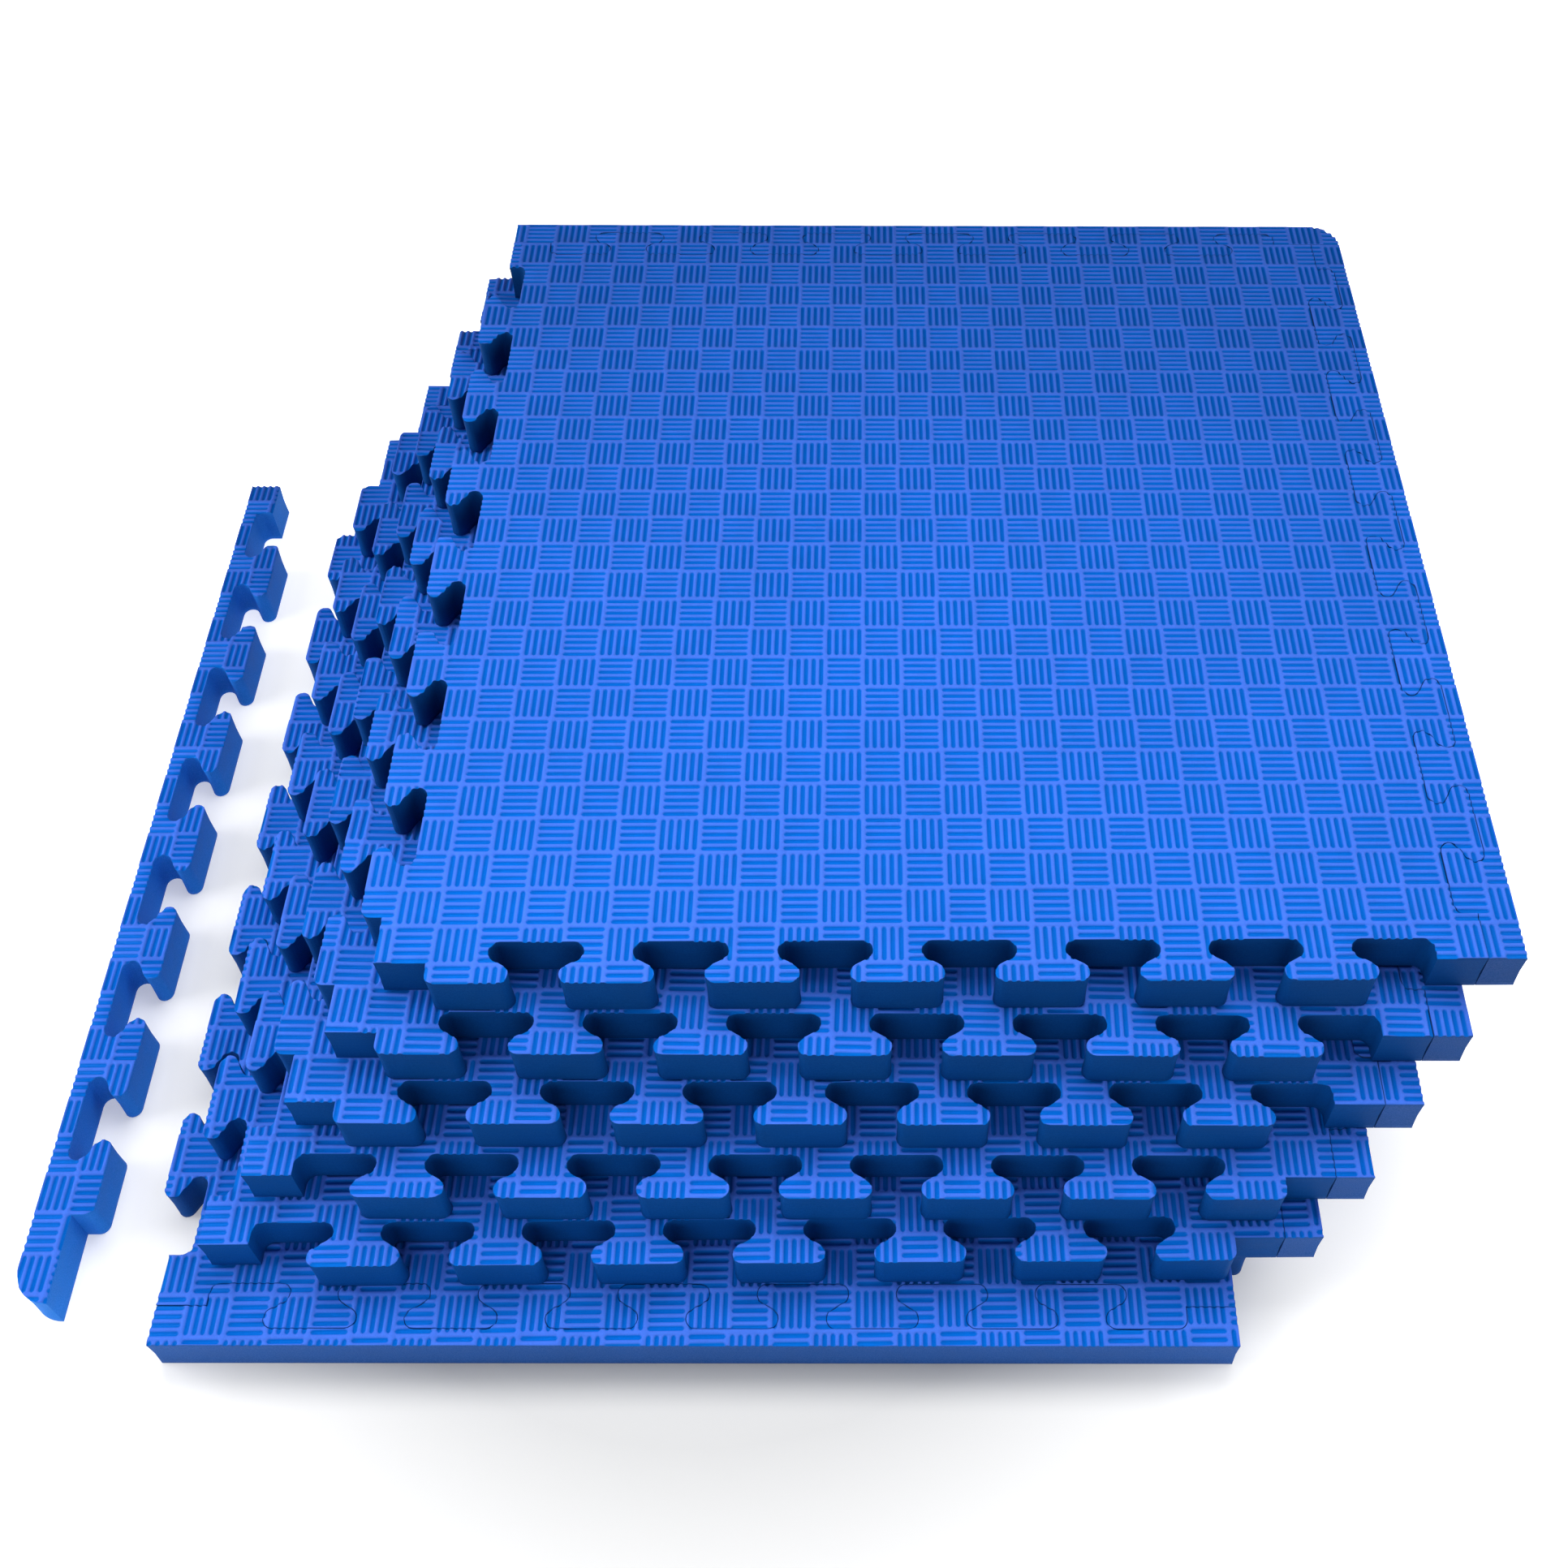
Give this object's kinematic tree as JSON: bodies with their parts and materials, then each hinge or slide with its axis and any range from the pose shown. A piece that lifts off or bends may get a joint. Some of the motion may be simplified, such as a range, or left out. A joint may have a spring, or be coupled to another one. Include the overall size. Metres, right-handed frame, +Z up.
{
  "type": "interlocking foam floor mats",
  "caption": "Stack of interlocking square foam mats with dovetail tab edges, straight and corner edge strips, and a pressed basket-weave top.",
  "frame": {"origin": "centre of the bottom mat's underside, on the floor", "axes": "+Z up through the stack, +X towards the side strips, -Y towards the fitted front strip of the bottom mat"},
  "size_m": [0.8516, 0.7862, 0.1916],
  "materials": {
    "foam_mat_1": "soft matte foam, pressed basket-weave top",
    "foam_front_strip_1": "soft matte foam, pressed basket-weave top",
    "foam_mat_2": "soft matte foam, pressed basket-weave top",
    "foam_back_strip_2": "soft matte foam, pressed basket-weave top",
    "foam_side_strip_2": "soft matte foam, pressed basket-weave top",
    "foam_mat_3": "soft matte foam, pressed basket-weave top",
    "foam_back_strip_3": "soft matte foam, pressed basket-weave top",
    "foam_side_strip_3": "soft matte foam, pressed basket-weave top",
    "foam_mat_4": "soft matte foam, pressed basket-weave top",
    "foam_back_strip_4": "soft matte foam, pressed basket-weave top",
    "foam_side_strip_4": "soft matte foam, pressed basket-weave top",
    "foam_mat_5": "soft matte foam, pressed basket-weave top",
    "foam_back_strip_5": "soft matte foam, pressed basket-weave top",
    "foam_side_strip_5": "soft matte foam, pressed basket-weave top",
    "foam_mat_6": "soft matte foam, pressed basket-weave top",
    "foam_back_strip_6": "soft matte foam, pressed basket-weave top",
    "foam_side_strip_6": "soft matte foam, pressed basket-weave top",
    "foam_loose_corner_strip": "soft matte foam, pressed basket-weave top"
  },
  "bodies": {
    "mat_1": {"mat_1": "foam_mat_1"},
    "front_strip_1": {"front_strip_1": "foam_front_strip_1"},
    "mat_2": {"mat_2": "foam_mat_2"},
    "back_strip_2": {"back_strip_2": "foam_back_strip_2"},
    "side_strip_2": {"side_strip_2": "foam_side_strip_2"},
    "mat_3": {"mat_3": "foam_mat_3"},
    "back_strip_3": {"back_strip_3": "foam_back_strip_3"},
    "side_strip_3": {"side_strip_3": "foam_side_strip_3"},
    "mat_4": {"mat_4": "foam_mat_4"},
    "back_strip_4": {"back_strip_4": "foam_back_strip_4"},
    "side_strip_4": {"side_strip_4": "foam_side_strip_4"},
    "mat_5": {"mat_5": "foam_mat_5"},
    "back_strip_5": {"back_strip_5": "foam_back_strip_5"},
    "side_strip_5": {"side_strip_5": "foam_side_strip_5"},
    "mat_6": {"mat_6": "foam_mat_6"},
    "back_strip_6": {"back_strip_6": "foam_back_strip_6"},
    "side_strip_6": {"side_strip_6": "foam_side_strip_6"},
    "loose_corner_strip": {"loose_corner_strip": "foam_loose_corner_strip"}
  },
  "joints": [
    {"name": "front_strip_1_lift", "type": "slide", "parent": "mat_1", "child": "front_strip_1", "axis": [0, 0, 1], "range_m": [0, 0.045]},
    {"name": "mat_2_lift", "type": "slide", "parent": "front_strip_1", "child": "mat_2", "axis": [0, 0, 1], "range_m": [0, 0.045]},
    {"name": "back_strip_2_lift", "type": "slide", "parent": "mat_2", "child": "back_strip_2", "axis": [0, 0, 1], "range_m": [0, 0.045]},
    {"name": "side_strip_2_lift", "type": "slide", "parent": "back_strip_2", "child": "side_strip_2", "axis": [0, 0, 1], "range_m": [0, 0.045]},
    {"name": "mat_3_lift", "type": "slide", "parent": "side_strip_2", "child": "mat_3", "axis": [0, 0, 1], "range_m": [0, 0.045]},
    {"name": "back_strip_3_lift", "type": "slide", "parent": "mat_3", "child": "back_strip_3", "axis": [0, 0, 1], "range_m": [0, 0.045]},
    {"name": "side_strip_3_lift", "type": "slide", "parent": "back_strip_3", "child": "side_strip_3", "axis": [0, 0, 1], "range_m": [0, 0.045]},
    {"name": "mat_4_lift", "type": "slide", "parent": "side_strip_3", "child": "mat_4", "axis": [0, 0, 1], "range_m": [0, 0.045]},
    {"name": "back_strip_4_lift", "type": "slide", "parent": "mat_4", "child": "back_strip_4", "axis": [0, 0, 1], "range_m": [0, 0.045]},
    {"name": "side_strip_4_lift", "type": "slide", "parent": "back_strip_4", "child": "side_strip_4", "axis": [0, 0, 1], "range_m": [0, 0.045]},
    {"name": "mat_5_lift", "type": "slide", "parent": "side_strip_4", "child": "mat_5", "axis": [0, 0, 1], "range_m": [0, 0.045]},
    {"name": "back_strip_5_lift", "type": "slide", "parent": "mat_5", "child": "back_strip_5", "axis": [0, 0, 1], "range_m": [0, 0.045]},
    {"name": "side_strip_5_lift", "type": "slide", "parent": "back_strip_5", "child": "side_strip_5", "axis": [0, 0, 1], "range_m": [0, 0.045]},
    {"name": "mat_6_lift", "type": "slide", "parent": "side_strip_5", "child": "mat_6", "axis": [0, 0, 1], "range_m": [0, 0.045]},
    {"name": "back_strip_6_lift", "type": "slide", "parent": "mat_6", "child": "back_strip_6", "axis": [0, 0, 1], "range_m": [0, 0.045]},
    {"name": "side_strip_6_lift", "type": "slide", "parent": "mat_6", "child": "side_strip_6", "axis": [0, 0, 1], "range_m": [0, 0.045]},
    {"name": "loose_corner_strip_lift", "type": "slide", "parent": "mat_1", "child": "loose_corner_strip", "axis": [0, 0, 1], "range_m": [0, 0.1]}
  ]
}
